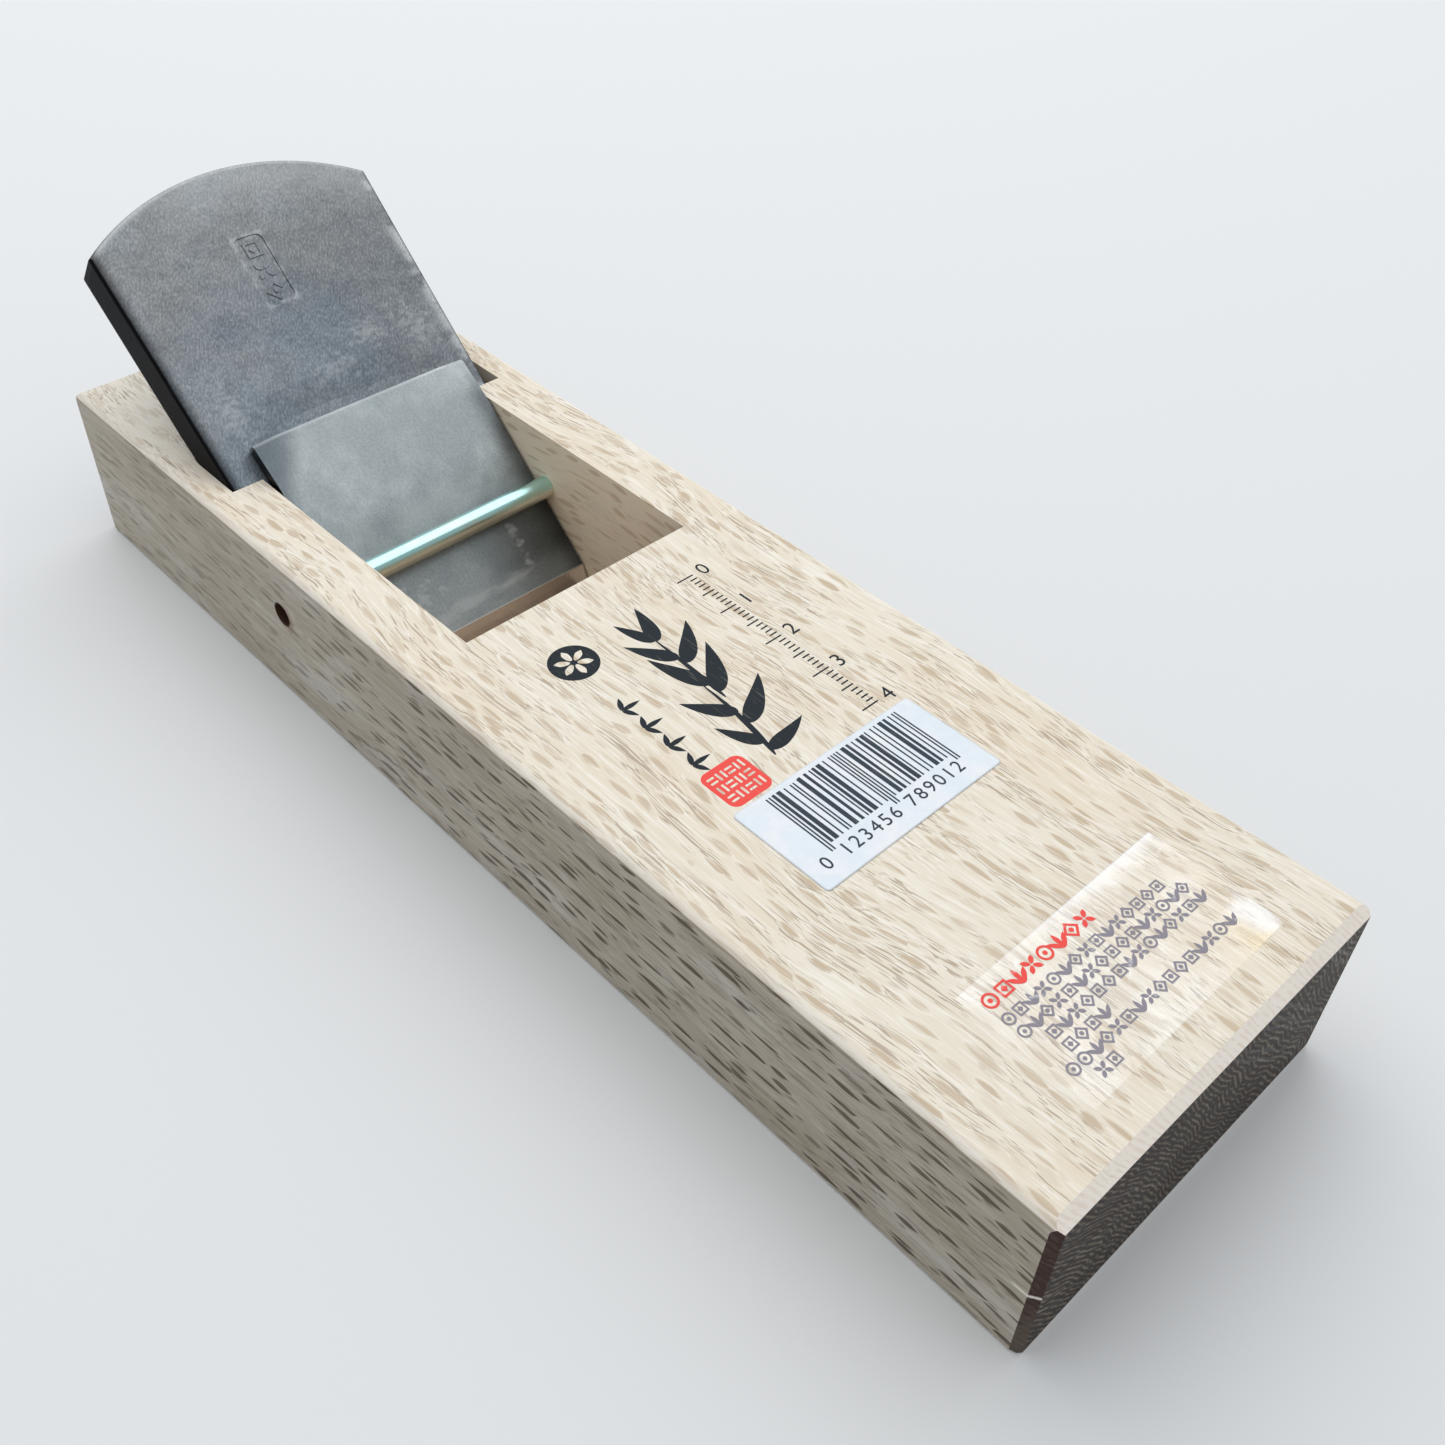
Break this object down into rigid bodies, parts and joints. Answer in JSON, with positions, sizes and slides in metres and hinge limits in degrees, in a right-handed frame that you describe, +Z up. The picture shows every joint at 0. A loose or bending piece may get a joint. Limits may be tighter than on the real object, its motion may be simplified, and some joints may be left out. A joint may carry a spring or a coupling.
{
  "type": "japanese hand plane",
  "caption": "Pull plane: an oak block holds a tapered laminated blade in side grooves, with a chip breaker on it under a cross pin; blade and breaker slide along the bed to adjust or come out.",
  "frame": {"origin": "middle of the oak block on its sole", "axes": "+X along the block towards its leading end, +Y across it, +Z up from the sole"},
  "size_m": [0.226, 0.067, 0.0651],
  "materials": {
    "oak": "planed bare white oak",
    "forged_iron": "blue grey forge scale",
    "blade_steel": "ground steel with fine grain",
    "breaker_iron": "smooth satin grey",
    "breaker_steel": "ground and polished",
    "plated_steel": "bright zinc plate",
    "label_paper": "smooth white paper",
    "clear_film": "clear glossy film"
  },
  "bodies": {
    "block": {"dai": "oak", "cross_pin": "plated_steel", "paper_label": "label_paper", "clear_film": "clear_film"},
    "blade": {"blade_iron": "forged_iron", "blade_steel": "blade_steel"},
    "chip_breaker": {"chip_breaker_iron": "breaker_iron", "chip_breaker_steel": "breaker_steel"}
  },
  "joints": [
    {"name": "blade_slide", "type": "slide", "parent": "block", "child": "blade", "axis": [-0.7547, 0, 0.6561], "range_m": [-0.0009, 0.042]},
    {"name": "chip_breaker_slide", "type": "slide", "parent": "block", "child": "chip_breaker", "axis": [-0.7547, 0, 0.6561], "range_m": [-0.0015, 0.04]}
  ]
}
